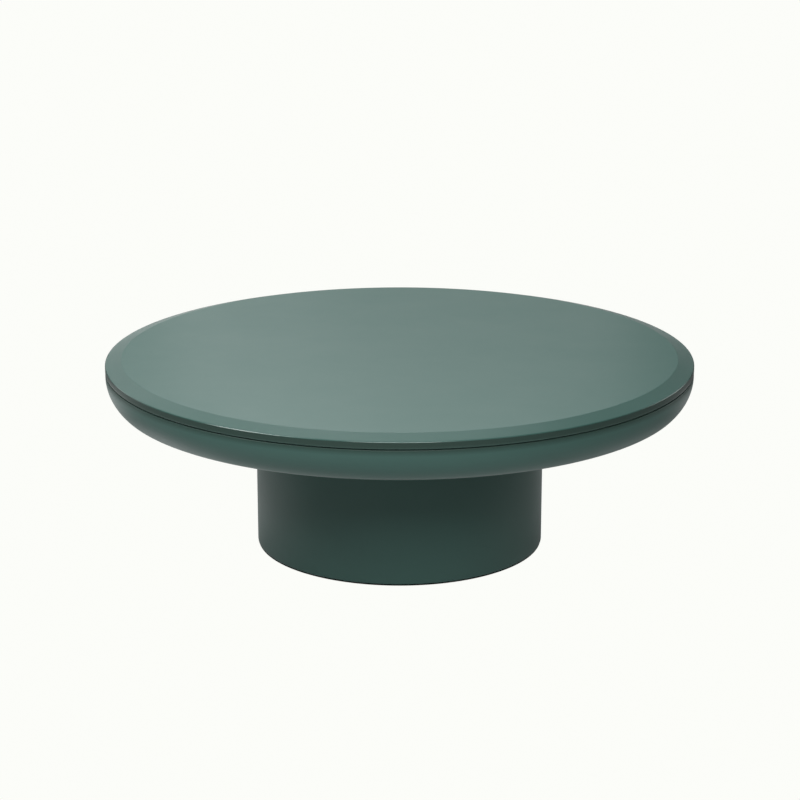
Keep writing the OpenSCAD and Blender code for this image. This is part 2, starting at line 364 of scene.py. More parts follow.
def bridge(bm, first, second):
    """Faces between two rings of as many points."""
    count = len(first)
    for i in range(count):
        j = (i + 1) % count
        bm.faces.new((first[i], first[j], second[j], second[i]))


def stack(bm, levels, segments):
    """Rings joined one after another; gives the first and the last."""
    rings = [ring(bm, radius, height, segments) for radius, height in levels]
    for below, above in zip(rings, rings[1:]):
        bridge(bm, below, above)
    return rings[0], rings[-1]


def thread_levels(start, end, root, crest, pitch, narrow=lambda height: 1.0):
    """Levels of a helical thread that runs in and out over one turn."""
    steps_per_turn = 6
    tooth_width = 0.3
    steps = round((end - start) / pitch * steps_per_turn)
    levels = []
    for i in range(steps + 1):
        height = start + (end - start) * i / steps
        fade = min(1.0, i / steps_per_turn, (steps - i) / steps_per_turn)

        def size(angle, height=height, fade=fade):
            """Radius of the thread at an angle."""
            phase = (height / pitch - angle / math.tau) % 1.0
            tooth = max(0.0, 1.0 - abs(phase - 0.5) / tooth_width) * fade
            return (root + (crest - root) * tooth) * narrow(height)

        levels.append((size, height))
    return levels


def cross(arm, half):
    """Corners of a cross, in order."""
    quarter = [(arm, -half), (arm, half), (half, half)]
    corners = []
    for turn in range(4):
        c, s = (1, 0, -1, 0)[turn], (0, 1, 0, -1)[turn]
        corners += [(c * x - s * y, s * x + c * y) for x, y in quarter]
    return corners


def hexagon(radius):
    """Corners of a hexagon, in order."""
    return [(radius * math.cos(math.tau * i / 6), radius * math.sin(math.tau * i / 6))
            for i in range(6)]


def driven_face(bm, rim, outer, inner, height, depth):
    """Closes a head's face round a recess for the driver."""
    upper = [bm.verts.new((x, y, height)) for x, y in outer]
    lower = [bm.verts.new((x, y, height + depth)) for x, y in inner]
    edges = []
    for loop in (rim, upper):
        for i, point in enumerate(loop):
            after = loop[(i + 1) % len(loop)]
            edges.append(bm.edges.get((point, after)) or bm.edges.new((point, after)))
    bmesh.ops.triangle_fill(bm, edges=edges, use_beauty=True)
    bridge(bm, upper, lower)
    bm.faces.new(lower)


def mesh_from(name, bm):
    """A mesh with what was built, which is then let go."""
    mesh = bpy.data.meshes.new(name)
    bm.to_mesh(mesh)
    bm.free()
    return mesh


def wood_screw(name, screw_length):
    """Countersunk screw with a cross recess in its face at z = 0 and its tip up."""
    fixings = bpy.context.scene.table_fixings
    crest = fixings.screw_radius
    root = 0.7 * crest
    head = 2 * crest
    countersink = crest
    neck_end = 2 * crest
    thread_start = 0.3 * screw_length
    thread_end = screw_length - 0.2 * MM
    tip_length = 2 * crest
    blunt = 0.15
    arm = 0.56 * head
    half_arm = 0.12 * head
    recess = 0.45 * head
    foot_arm = 0.4 * arm
    half_foot_arm = 0.7 * half_arm

    def narrow(height):
        """Share of the thread's radius that is left towards the tip."""
        left = (screw_length - height) / tip_length
        return max(blunt, min(1.0, left))

    bm = bmesh.new()
    levels = [(head, 0), (crest, countersink), (root, neck_end), (root, thread_start)]
    levels += thread_levels(
        thread_start, thread_end, root, crest, fixings.screw_pitch, narrow)[1:]
    face, last = stack(bm, levels, fixings.segments)
    point = bm.verts.new((0, 0, screw_length))
    for i, corner in enumerate(last):
        bm.faces.new((corner, last[(i + 1) % len(last)], point))
    driven_face(bm, face, cross(arm, half_arm), cross(foot_arm, half_foot_arm), 0, recess)
    return mesh_from(name, bm)


def column_bolt(name, bolt_length, head_height):
    """Button-head bolt with a hexagonal socket; its head is under z = 0 and its shank up."""
    fixings = bpy.context.scene.table_fixings
    crest = fixings.bolt_radius
    root = 0.86 * crest
    head = 1.75 * crest
    shank_end = 0.45 * bolt_length
    thread_start = 0.47 * bolt_length
    chamfer = 0.6 * MM
    thread_end = bolt_length - chamfer
    key = 0.72 * crest
    key_foot = 0.97 * key
    socket_depth = 0.7 * crest
    dome_arc = math.radians(62)
    dome_steps = 8
    dome = []
    for i in range(dome_steps + 1):
        angle = dome_arc * i / dome_steps
        height = -head_height * math.sin(angle) / math.sin(dome_arc)
        dome.append((head * math.cos(angle), height))
    levels = dome[::-1] + [(crest, 0), (crest, shank_end), (root, thread_start)]
    levels += thread_levels(thread_start, thread_end, root, crest, fixings.bolt_pitch)[1:]
    levels.append((root - chamfer, bolt_length))
    bm = bmesh.new()
    face, last = stack(bm, levels, fixings.segments)
    bm.faces.new(last)
    driven_face(bm, face, hexagon(key), hexagon(key_foot), -head_height, socket_depth)
    return mesh_from(name, bm)


def threaded_insert(name, height):
    """Insert with a coarse thread outside and a bore for the bolt."""
    fixings = bpy.context.scene.table_fixings
    crest = fixings.insert_radius
    root = 0.86 * crest
    bore = fixings.bolt_radius + 0.05 * MM
    chamfer = 0.5 * MM
    plain_end = 0.2 * MM
    coarse_pitch = 2.5 * MM
    levels = [(bore, height - chamfer), (bore, chamfer), (bore + chamfer, 0), (root, 0)]
    levels += thread_levels(plain_end, height - plain_end, root, crest, coarse_pitch)
    levels += [(root, height), (bore + chamfer, height)]
    bm = bmesh.new()
    first, last = stack(bm, levels, fixings.segments)
    bridge(bm, last, first)
    return mesh_from(name, bm)


def spread(name, mesh, material, directions, distance, height, first=0.0, rows=1,
           row_step=(0, 0, 0), upside_down=False):
    """Copies of a mesh round the table's axis, as one piece."""
    piece = new_piece(name, mesh)
    run_nodes(piece, spreading_tree(), {
        "Directions": directions, "First direction": first, "Distance": distance, "Rows": rows,
        "Row step": row_step, "Height": height, "Upside down": upside_down,
        "Material": material})
    return piece


# Glides, built with their lower face at z = 0

def glide_outline(height):
    """A glide with a screw hole, a sloping edge and a groove round its side."""
    fixings = bpy.context.scene.table_fixings
    radius = fixings.glide_radius
    edge = fixings.glide_edge
    play = 0.1 * MM
    shank = fixings.screw_radius + play
    head = 2 * fixings.screw_radius + play
    soft = 0.3 * MM
    edge_round = 0.4 * MM
    groove = 0.3 * MM
    groove_start = 0.5 * height
    return outline([
        (head, 0, 0),
        (radius - edge, 0, soft),
        (radius, edge, edge_round),
        (radius, groove_start, 0),
        (radius - groove, groove_start + groove, 0),
        (radius, groove_start + 2 * groove, 0),
        (radius, height, soft),
        (shank, height, 0),
        (shank, head - shank, 0),
    ])


FELT_DEPTH = 0.1 * MM  # of the felt's roughness


def felt_outline(radius, thickness):
    """A disc with rings on its face and with bands round its side, which the felt's fibres need."""
    rings = 10
    bands = 4
    soft = 0.3 * MM
    radius -= FELT_DEPTH
    under = [Vector((radius * i / rings, 0)) for i in range(rings)]
    under.append(Vector((radius - soft, 0)))
    side = [Vector((radius, soft + (thickness - 2 * soft) * i / bands)) for i in range(bands + 1)]
    upper = [Vector((radius - soft, thickness)), Vector((0, thickness))]
    return under + side + upper


def roughen(mesh):
    """Fibrous unevenness round a felt sole's side."""
    fineness = 900
    side = max(math.hypot(v.co.x, v.co.y) for v in mesh.vertices) - FELT_DEPTH
    for vertex in mesh.vertices:
        out = Vector((vertex.co.x, vertex.co.y, 0))
        if out.length > side:
            vertex.co += out.normalized() * FELT_DEPTH * noise.noise(vertex.co * fineness)


# Materials

class Finish(NodeMaker):
    """A material made from shader nodes on object coordinates."""

    def __init__(self, name):
        self.material = bpy.data.materials.new(name)
        self.material.use_nodes = True
        super().__init__(self.material.node_tree)
        self.tree.nodes.clear()
        self.shader = self.tree.nodes.new("ShaderNodeBsdfPrincipled")
        out = self.tree.nodes.new("ShaderNodeOutputMaterial")
        self.tree.links.new(self.shader.outputs["BSDF"], out.inputs["Surface"])
        coordinates = self.tree.nodes.new("ShaderNodeTexCoord")
        self.place = coordinates.outputs["Object"]
        self.normal = coordinates.outputs["Normal"]

    def stretched(self, scale):
        """Object coordinates with their own scale along each axis."""
        return self.node("ShaderNodeMapping", {"Vector": self.place, "Scale": scale})

    def noise(self, scale, detail=3.0, roughness=0.5, place=None):
        """Clouds of noise, on object coordinates unless a place is given."""
        return self.node("ShaderNodeTexNoise", {
            "Vector": place or self.place, "Scale": scale, "Detail": detail,
            "Roughness": roughness})

    def axis(self, name, vector=None):
        """X, Y or Z of a vector, or of the place."""
        return self.node(
            "ShaderNodeSeparateXYZ", {"Vector": vector or self.place}, "XYZ".index(name))

    def distance(self, point):
        """How far the place is from a point, in metres."""
        value_output = 1
        return self.node(
            "ShaderNodeVectorMath", {0: self.place, 1: point}, value_output, operation="DISTANCE")

    def between(self, value, low_value, high_value, start=0.3, end=0.7):
        """Maps a value's range, which is usually that of noise, to another range."""
        return self.node("ShaderNodeMapRange", {
            "Value": value, "From Min": start, "From Max": end, "To Min": low_value,
            "To Max": high_value})

    def blend(self, factor, first, second):
        """A colour between two, either of which may be linked."""
        first_colour, second_colour, colour_output = 6, 7, 2
        values = [v if isinstance(v, bpy.types.NodeSocket) else (*v, 1) for v in (first, second)]
        return self.node(
            "ShaderNodeMix",
            {"Factor": factor, first_colour: values[0], second_colour: values[1]},
            colour_output, data_type="RGBA")

    def set(self, **values):
        """Uniform values on the shader's own sockets."""
        for key, value in values.items():
            name = key.replace("_", " ").title().replace("Ior", "IOR")
            self.shader.inputs[name].default_value = value

    def drive(self, name, socket):
        """Links one of the shader's sockets."""
        self.tree.links.new(socket, self.shader.inputs[name])

    def bump(self, height, distance, strength=1.0):
        """Relief, in metres; later calls add to earlier ones."""
        taken = self.shader.inputs["Normal"]
        inputs = {"Height": height, "Distance": distance, "Strength": strength}
        if taken.is_linked:
            inputs["Normal"] = taken.links[0].from_socket
        self.drive("Normal", self.node("ShaderNodeBump", inputs))


def shade(rgb, factor):
    """A lighter or darker colour."""
    return tuple(min(1.0, c * factor) for c in rgb)


def finishes():
    """The colours set for the table."""
    return bpy.context.scene.table_finish


def satin_lacquer(name):
    """Sprayed lacquer: faint clouding, an uneven sheen and a fine orange peel.

    Gives the finish with its clouded colour and its sheen, for the caller to link.
    """
    finish = Finish(name)
    rgb = finishes().lacquer
    cloud = finish.between(finish.noise(scale=5, detail=4), 0, 1)
    tint = finish.blend(cloud, shade(rgb, 0.97), shade(rgb, 1.03))
    sheen = finish.between(finish.noise(scale=9, detail=5, roughness=0.6), 0.36, 0.40)
    finish.bump(finish.noise(scale=420, detail=2), distance=0.02 * MM, strength=0.35)
    return finish, tint, sheen


def lacquer():
    """The lacquer of rim, underside and column, darker just under the shadow gap as painted shade.
    """
    upper = high("rim_ring").z
    # painted shade: over this depth below the rim's upper edge its colour darkens to the edge
    # colour, for the shade under the overhanging top panel
    soaked = 9 * MM
    finish, tint, sheen = satin_lacquer("green_lacquer")
    edge = finish.between(finish.axis("Z"), 0, 1, start=upper - soaked, end=upper)
    finish.drive("Base Color", finish.blend(edge, tint, finishes().edge))
    finish.drive("Roughness", sheen)
    finish.set(ior=SATIN_IOR)
    return finish.material


def top_lacquer():
    """The top panel's lacquer: painted light on its face, painted shade on its edge, rubbed bright
    between.

    The slope tells these apart. It is 1 on the flat face and 0 on the upright edge.
    """
    bevel_slope = 0.975
    face_slope = 0.992
    edge_slope = 0.25
    arris_slope = 0.6
    rubbed_slope = 0.66
    rubbed_spread = 0.16
    rubbed_sheen = 0.12
    rubbed_ior = 2.2
    face_ior = 1.366
    # share of the edge's painted shade kept at its foot, which is left lighter as painted light
    # from the floor
    painted_shade_foot_share = 0.6
    foot_start = low("top_panel").z + 1 * MM
    foot_end = low("top_panel").z + 4 * MM
    finish, tint, sheen = satin_lacquer("green_top_lacquer")
    slope = finish.math("ABSOLUTE", finish.axis("Z", finish.normal))
    face = finish.between(slope, 0, 1, start=bevel_slope, end=face_slope)
    upright = finish.between(slope, 1, 0, start=edge_slope, end=arris_slope)
    height = finish.between(finish.axis("Z"), painted_shade_foot_share, 1, start=foot_start, end=foot_end)
    # painted shade on the upright edge, thinner at its foot
    edge = finish.math("MULTIPLY", upright, height)
    # painted light: the flat face gets the lighter face colour
    light = finish.blend(face, tint, finishes().face)
    finish.drive("Base Color", finish.blend(edge, light, finishes().edge))
    from_rubbed = finish.math("ABSOLUTE", finish.math("SUBTRACT", slope, rubbed_slope))
    arris = finish.between(from_rubbed, 1, 0, start=0.6 * rubbed_spread, end=rubbed_spread)
    finish.drive("Roughness", finish.between(arris, sheen, rubbed_sheen, start=0, end=1))
    flat_ior = finish.between(face, SATIN_IOR, face_ior, start=0, end=1)
    finish.set(ior=SATIN_IOR)
    finish.drive("IOR", finish.between(arris, flat_ior, rubbed_ior, start=0, end=1))
    return finish.material


def birch_plywood():
    """Long grain on the faces and thin plies on the edges."""
    rgb = finishes().plywood
    ply = 1.4 * MM
    finish = Finish("birch_plywood")
    grain = finish.noise(
        scale=60, detail=6, roughness=0.65, place=finish.stretched((0.12, 1.6, 1.0)))
    pores = finish.noise(scale=900, detail=2, place=finish.stretched((0.08, 1.0, 1.0)))
    face = finish.blend(finish.between(grain, 0, 1), shade(rgb, 0.86), shade(rgb, 1.12))
    face = finish.blend(
        finish.between(pores, 0, 0.35, start=0.55, end=0.75), face, shade(rgb, 0.6))
    layer = finish.math("PINGPONG", finish.axis("Z"), ply)
    glue_line = finish.between(layer, 0, 1, start=0.4 * ply, end=0.6 * ply)
    edge = finish.blend(glue_line, shade(rgb, 1.05), shade(rgb, 0.55))
    fibres = finish.noise(scale=700, detail=3, roughness=0.6)
    edge = finish.blend(finish.between(fibres, 0, 0.3), edge, shade(rgb, 0.4))
    upward = finish.math("ABSOLUTE", finish.axis("Z", finish.normal))
    on_face = finish.between(upward, 0, 1, start=0.4, end=0.6)
    finish.drive("Base Color", finish.blend(on_face, edge, face))
    finish.drive("Roughness", finish.between(grain, 0.55, 0.72))
    finish.bump(grain, distance=0.08 * MM, strength=0.5)
    finish.bump(pores, distance=0.05 * MM, strength=0.5)
    return finish.material


def raw_fibreboard():
    """Pressed fibres: mottled brown with darker specks."""
    rgb = finishes().fibreboard
    finish = Finish("raw_fibreboard")
    mottle = finish.noise(scale=45, detail=5, roughness=0.6)
    specks = finish.noise(scale=1400, detail=2, roughness=0.6)
    base = finish.blend(finish.between(mottle, 0, 1), shade(rgb, 0.88), shade(rgb, 1.1))
    specked = finish.between(specks, 0, 0.45, start=0.5, end=0.75)
    finish.drive("Base Color", finish.blend(specked, base, shade(rgb, 0.55)))
    finish.drive("Roughness", finish.between(mottle, 0.75, 0.9))
    finish.bump(specks, distance=0.06 * MM, strength=0.6)
    return finish.material


def oiled_steel():
    """Rolled plate: blotchy scale, an oily sheen and faint lathe marks."""
    rgb = finishes().steel
    finish = Finish("black_oiled_steel")
    blotches = finish.between(finish.noise(scale=28, detail=7, roughness=0.62), 0, 1)
    finish.drive("Base Color", finish.blend(blotches, shade(rgb, 0.7), shade(rgb, 1.5)))
    oil = finish.noise(scale=75, detail=4, roughness=0.6)
    finish.drive("Roughness", finish.between(oil, 0.38, 0.62))
    marks = finish.node("ShaderNodeTexWave", {
        "Vector": finish.place, "Scale": 400.0, "Distortion": 0.6},
        wave_type="RINGS", rings_direction="Z")
    finish.bump(marks, distance=0.02 * MM, strength=0.3)
    finish.bump(finish.noise(scale=600), distance=0.03 * MM, strength=0.4)
    finish.set(metallic=0.85)
    return finish.material


def bright_zinc():
    """Zinc plate with faint blue and yellow clouds."""
    red, green, blue = finishes().zinc
    cool = (red * 0.92, green * 0.98, blue * 1.08)
    warm = (red * 1.08, green * 1.03, blue * 0.86)
    finish = Finish("bright_zinc_plate")
    cloud = finish.between(finish.noise(scale=130, detail=3, roughness=0.55), 0, 1)
    finish.drive("Base Color", finish.blend(cloud, cool, warm))
    haze = finish.noise(scale=420, detail=4, roughness=0.6)
    finish.drive("Roughness", finish.between(haze, 0.24, 0.42))
    finish.bump(finish.noise(scale=1800, detail=2), distance=0.01 * MM, strength=0.4)
    finish.set(metallic=1.0)
    return finish.material


def moulded_plastic():
    """Black plastic with the fine grain of a spark-eroded mould."""
    rgb = finishes().plastic
    finish = Finish("moulded_black_plastic")
    grain = finish.noise(scale=2600, detail=2)
    flow = finish.between(finish.noise(scale=55), 0, 1)
    finish.drive("Base Color", finish.blend(flow, shade(rgb, 0.85), shade(rgb, 1.25)))
    finish.drive("Roughness", finish.between(grain, 0.46, 0.62))
    finish.bump(grain, distance=0.02 * MM, strength=0.6)
    return finish.material


def dense_felt():
    """Matted fibres in mixed greys."""
    rgb = finishes().felt
    finish = Finish("dense_grey_felt")
    matted = finish.noise(
        scale=1100, detail=5, roughness=0.7, place=finish.stretched((1.0, 0.45, 0.8)))
    crossing = finish.noise(
        scale=900, detail=4, roughness=0.7, place=finish.stretched((0.4, 1.0, 0.9)))
    mixed = finish.math(
        "ADD", finish.math("MULTIPLY", matted, 0.5), finish.math("MULTIPLY", crossing, 0.5))
    grey = finish.between(mixed, 0, 1, start=0.35, end=0.65)
    finish.drive("Base Color", finish.blend(grey, shade(rgb, 0.6), shade(rgb, 1.7)))
    finish.drive("Roughness", finish.between(matted, 0.88, 1.0))
    finish.bump(mixed, distance=0.25 * MM, strength=0.9)
    finish.set(sheen_weight=0.3)
    return finish.material


FINISHES = {
    "lacquered_top": top_lacquer,
    "lacquer": lacquer,
    "plywood": birch_plywood,
    "fibreboard": raw_fibreboard,
    "ballast_steel": oiled_steel,
    "zinc_plate": bright_zinc,
    "black_plastic": moulded_plastic,
    "felt": dense_felt,
}
MADE = {}  # the materials made so far


def material_for(slot):
    """The material of a record slot, made once."""
    if slot not in MADE:
        MADE[slot] = FINISHES[slot]()
    return MADE[slot]


# Stage

FLOOR_RADIUS = 40.0
FLOOR_SEGMENTS = 192
SHADOW_COLOUR = (0.02, 0.02, 0.02, 1)

# Name, azimuth, elevation, power, and the width and height of those that aren't the usual size
SOFTBOXES = (
    ("front_softbox", 180, 38, 22.0),
    ("right_front_softbox", 210, 25, 3.8),
    ("right_softbox", 295, 10, 4.9),
    ("right_back_softbox", 320, 25, 1.7),
    ("back_low_softbox", 0, 10, 2.0),
    ("left_horizon_softbox", 19, 3, 1.1, 0.6, 0.3),
    ("right_horizon_softbox", 341, 3, 0.7, 0.6, 0.3),
    ("back_softbox", 0, 25, 0.9),
    ("back_high_softbox", 0, 42, 8.2),
    ("left_back_softbox", 20, 25, 1.4),
    ("left_back_high_softbox", 20, 42, 3.4),
    ("left_back_wide_softbox", 40, 25, 3.3),
    ("left_low_softbox", 65, 10, 4.1),
    ("left_window_softbox", 110, 46, 17.5, 0.55, 1.6),
)

# The camera, fitted to the table's outline in the photograph
CAMERA_PLACE = (0.0006, -3.3970, 1.2099)
CAMERA_TILT = math.radians(73.788)
CAMERA_LENS = 102.91
SENSOR_WIDTH = 36.0
FAR_CLIP = 200.0


def pale_floor():
    """Plain white for the camera and matt for the table, its matt colour darker near the table as a
    painted shadow.

    In the table's gloss it is bright in front and dim behind, with a bright strip behind the
    table at each side, a bright horizon and a faint patch at the table's left. It fades away from
    the table and to the right. Distances are in metres.
    """
    front_glow = 0.92
    strip_glow = 0.76
    strip_middle = 0.5
    horizon_glow = 0.9
    patch_glow = 0.25
    patch_place = (-0.45, -0.05, 0)
    finish = Finish("pale_floor")
    finish.tree.nodes.remove(finish.shader)
    out = finish.tree.nodes["Material Output"]
    away = finish.distance((0, 0, 0))
    across = finish.axis("X")
    aside = finish.math("ABSOLUTE", across)
    back = finish.axis("Y")
    set_back = finish.between(away, 0, 0.27, start=0.3, end=0.6)
    behind = finish.between(away, 0.32, 0.5, start=0.24, end=0.32)
    front = finish.between(
        finish.math("SUBTRACT", back, set_back), front_glow, behind, start=-0.24, end=-0.06)
    front = finish.math("MULTIPLY", front, finish.between(aside, 1, 0.6, start=0.5, end=0.7))
    from_strip = finish.math("ABSOLUTE", finish.math("SUBTRACT", back, strip_middle))
    strip = finish.math(
        "MULTIPLY", finish.between(from_strip, 1, 0, start=0.12, end=0.32),
        finish.between(aside, 0, strip_glow, start=0.5, end=0.72))
    horizon = finish.between(back, 0, horizon_glow, start=3, end=4.5)
    patch = finish.between(finish.distance(patch_place), patch_glow, 0, start=0.12, end=0.3)
    lit = finish.math("ADD", finish.math("ADD", front, strip), finish.math("ADD", horizon, patch))
    near = finish.between(away, 1, 0.4, start=1.05, end=1.35)
    side = finish.between(across, 1.05, 0.65, start=-0.7, end=0.7)
    mirrored = finish.math("MULTIPLY", finish.math("MULTIPLY", lit, near), side)
    # painted shadow: the matt colour is darker near the table's axis, for the table's shadow on the
    # floor
    albedo_with_painted_shadow = finish.between(away, 0.22, 0.4, start=0.45, end=0.70)
    surface = finish.node("ShaderNodeBsdfDiffuse", {"Color": albedo_with_painted_shadow})
    for seen_by, color in (("Is Glossy Ray", mirrored), ("Is Camera Ray", BACKDROP)):
        ray = finish.tree.nodes.new("ShaderNodeLightPath").outputs[seen_by]
        glow = finish.node("ShaderNodeEmission", {"Color": color})
        surface = finish.node("ShaderNodeMixShader", {0: ray, 1: surface, 2: glow})
    finish.tree.links.new(surface, out.inputs["Surface"])
    return finish.material


def shaded_floor():
    """Floor that the column keeps dark."""
    material = bpy.data.materials.new("shaded_floor")
    material.use_nodes = True
    material.node_tree.nodes["Principled BSDF"].inputs["Base Color"].default_value = SHADOW_COLOUR
    return material


def add_floor():
    """A floor that the camera sees as plain white and the table as a matt surface.

    Its middle, under the column, is in the column's own shadow.
    """
    shaded = bpy.context.scene.table_shape.column_radius - 1 * MM
    bm = bmesh.new()
    middle = ring(bm, shaded, 0, FLOOR_SEGMENTS)
    bridge(bm, middle, ring(bm, FLOOR_RADIUS, 0, FLOOR_SEGMENTS))
    under = bm.faces.new(middle)
    under.material_index = 1
    bmesh.ops.recalc_face_normals(bm, faces=bm.faces)
    floor = new_piece("floor", mesh_from("floor", bm))
    floor.data.materials.append(pale_floor())
    floor.data.materials.append(shaded_floor())


def softbox(name, azimuth, elevation, power, width=1.2, height=1.2):
    """A soft light aimed at the table; azimuth 0 is behind it and 90 to its left."""
    distance = 2.4
    lamp = bpy.data.lights.new(name, "AREA")
    lamp.shape = "RECTANGLE"
    lamp.size = width
    lamp.size_y = height
    lamp.energy = power
    light = new_piece(name, lamp)
    light.visible_camera = False
    turn = math.radians(azimuth)
    rise = math.radians(elevation)
    flat = math.cos(rise)
    out = Vector((-math.sin(turn) * flat, math.cos(turn) * flat, math.sin(rise)))
    light.location = Vector((0, 0, high("rim_ring").z)) + distance * out
    light.rotation_euler = (-out).to_track_quat("-Z", "Y").to_euler()


def add_backdrop():
    """A backdrop that is white for the camera and gives no light."""
    world = bpy.data.worlds.new("studio")
    bpy.context.scene.world = world
    world.use_nodes = True
    tree = world.node_tree
    seen = tree.nodes["Background"]
    seen.inputs["Color"].default_value = BACKDROP
    unseen = tree.nodes.new("ShaderNodeBackground")
    unseen.inputs["Strength"].default_value = 0.0
    ray = tree.nodes.new("ShaderNodeLightPath")
    mix = tree.nodes.new("ShaderNodeMixShader")
    tree.links.new(ray.outputs["Is Camera Ray"], mix.inputs[0])
    tree.links.new(unseen.outputs[0], mix.inputs[1])
    tree.links.new(seen.outputs[0], mix.inputs[2])
    tree.links.new(mix.outputs[0], tree.nodes["World Output"].inputs["Surface"])


def add_camera():
    """The camera at the photograph's viewing angle."""
    camera = bpy.data.cameras.new("camera")
    camera.sensor_width = SENSOR_WIDTH
    camera.lens = CAMERA_LENS
    camera.clip_end = FAR_CLIP
    holder = new_piece("camera", camera)
    holder.location = CAMERA_PLACE
    holder.rotation_euler = Euler((CAMERA_TILT, 0, 0))
    bpy.context.scene.camera = holder
    bpy.context.scene.view_settings.view_transform = "Standard"


# Operators

class TABLE_OT_add_top(bpy.types.Operator):
    """Add the bevelled top panel"""

    bl_idname = "table.add_top"
    bl_label = "Top panel"

    def execute(self, context):
        shape = context.scene.table_shape
        radius = shape.top_radius
        top = high("top_panel").z - SHY
        under = low("top_panel").z
        flat = radius - shape.bevel_width
        rings = 6
        face = [Vector((flat * i / rings, top)) for i in range(rings)]
        edge = outline([
            (face[-1].x, top, 0),
            (flat, top, shape.bevel_round),
            (radius, top - shape.bevel_drop, shape.top_arris),
            (radius, under, shape.under_arris),
            (0, under, 0),
        ], closed=False)
        slot = "lacquered_top"
        piece = turned(
            "bevelled_top", face + edge[1:], shape.segments, material_for(slot), closed=False)
        keep(piece, slot, "top_panel")
        return {"FINISHED"}


class TABLE_OT_add_rim(bpy.types.Operator):
    """Add the rim that curves in underneath"""

    bl_idname = "table.add_rim"
    bl_label = "Rim"

    def execute(self, context):
        shape = context.scene.table_shape
        top = high("rim_ring").z
        under = low("rim_ring").z
        foot = shape.rim_foot
        arris = shape.rim_arris
        rise = top - shape.rim_belly - under - foot
        large = (shape.rim_reach ** 2 + rise ** 2 - foot ** 2) / (2 * (shape.rim_reach - foot))
        large_middle = Vector((shape.rim_radius - large, top - shape.rim_belly))
        foot_middle = Vector((shape.rim_radius - shape.rim_reach, under + foot))
        down = foot_middle - large_middle
        joint = math.atan2(down.y, down.x)
        tilt = math.asin((shape.rim_belly - arris) / (large - arris))
        arris_middle = large_middle + (large - arris) * Vector((math.cos(tilt), math.sin(tilt)))
        curve = arc(foot_middle, foot, -math.pi / 2, joint, steps=14)
        curve += arc(large_middle, large, joint, tilt, steps=26)[1:]
        curve += arc(arris_middle, arris, tilt, math.pi / 2, steps=6)[1:]
        inside = shape.rim_radius - shape.rim_width
        ledge = reach("underside_panel") + GLUE_GAP
        seat = reach("carrier_board") + GLUE_GAP
        ledge_z = high("underside_panel").z
        seat_z = low("carrier_board").z
        points = [
            Vector((inside, seat_z)),
            Vector((inside, ledge_z)),
            Vector((ledge, ledge_z)),
            Vector((ledge, under + arris / 2)),
            Vector((ledge + arris / 2, under)),
            Vector((foot_middle.x - arris, under)),
            *curve,
            Vector((arris_middle.x - arris, top)),
            Vector((seat, top)),
            Vector((seat, seat_z)),
        ]
        slot = "lacquer"
        piece = turned("curved_rim", points, shape.segments, material_for(slot))
        keep(piece, slot, "rim_ring")
        return {"FINISHED"}


class TABLE_OT_add_column(bpy.types.Operator):
    """Add the drum column"""

    bl_idname = "table.add_column"
    bl_label = "Column"

    def execute(self, context):
        shape = context.scene.table_shape
        outside = shape.column_radius
        inside = outside - shape.column_wall
        top = high("column_shell").z
        under = low("column_shell").z
        bands = 6
        wall = [Vector((outside, top + (under - top) * i / bands)) for i in range(bands)]
        foot = outline([
            (outside, wall[-1].y, 0),
            (outside, under, shape.column_arris),
            (inside, under, shape.column_arris / 3),
            (inside, top, 0),
            (outside, top, 0),
        ])
        slot = "lacquer"
        piece = turned("drum_column", wall + foot[1:-1], shape.segments, material_for(slot))
        keep(piece, slot, "column_shell")
        return {"FINISHED"}


class TABLE_OT_finish_boards(bpy.types.Operator):
    """Finish the boards, ribs, posts and ballast that keep their CAD shape"""

    bl_idname = "table.finish_boards"
    bl_label = "Boards and ballast"

    def execute(self, context):
        kept = ("underside_panel", "carrier_board", "core_block", "radial_rib",
                "column_head_board", "column_base_board", "column_post", "ballast_plate")
        for part in frame["record"]["subparts"]:
            if part["node"].startswith(kept):
                for slot in frame["nodes"][part["node"]].material_slots:
                    slot.material = material_for(part["material_slot"])
        return {"FINISHED"}


class TABLE_OT_add_screws(bpy.types.Operator):
    """Add the wood screws"""

    bl_idname = "table.add_screws"
    bl_label = "Wood screws"

    def execute(self, context):
        fixings = context.scene.table_fixings
        rib_in = low("radial_rib_1").x
        rib_out = high("radial_rib_1").x
        rib_middle = (rib_in + rib_out) / 2
        rib_step = (rib_out - rib_in - 2 * fixings.rib_screw_inset, 0, 0)
        post = centre("column_post_1").x
        post_step = (0, fixings.post_screw_pitch, 0)
        single = (0, 0, 0)
        ballast = reach("ballast_plate") - fixings.ballast_inset
        glide = math.hypot(centre("glide_1").x, centre("glide_1").y)
        between_ribs = math.tau / 16
        diagonal = math.tau / 8
        # Node, directions, distance, first direction, rows, step between rows, upside down
        groups = [
            ("top_screws", 8, rib_middle, between_ribs, 1, single, False),
            ("underside_screws", 8, rib_middle, 0.0, 2, rib_step, False),
            ("head_board_screws", 4, post, 0.0, 2, post_step, True),
            ("base_board_screws", 4, post, 0.0, 2, post_step, False),
            ("ballast_screws", 4, ballast, diagonal, 1, single, True),
            ("glide_screws", 4, glide, diagonal, 1, single, False),
        ]
        slot = "zinc_plate"
        for node, directions, distance, first, rows, row_step, upside_down in groups:
            bottom = low(node).z
            top = high(node).z
            name = "cross_" + node
            piece = spread(
                name, wood_screw(name, top - bottom), material_for(slot), directions, distance,
                top if upside_down else bottom, first, rows, row_step, upside_down)
            keep(piece, slot, node)
        return {"FINISHED"}


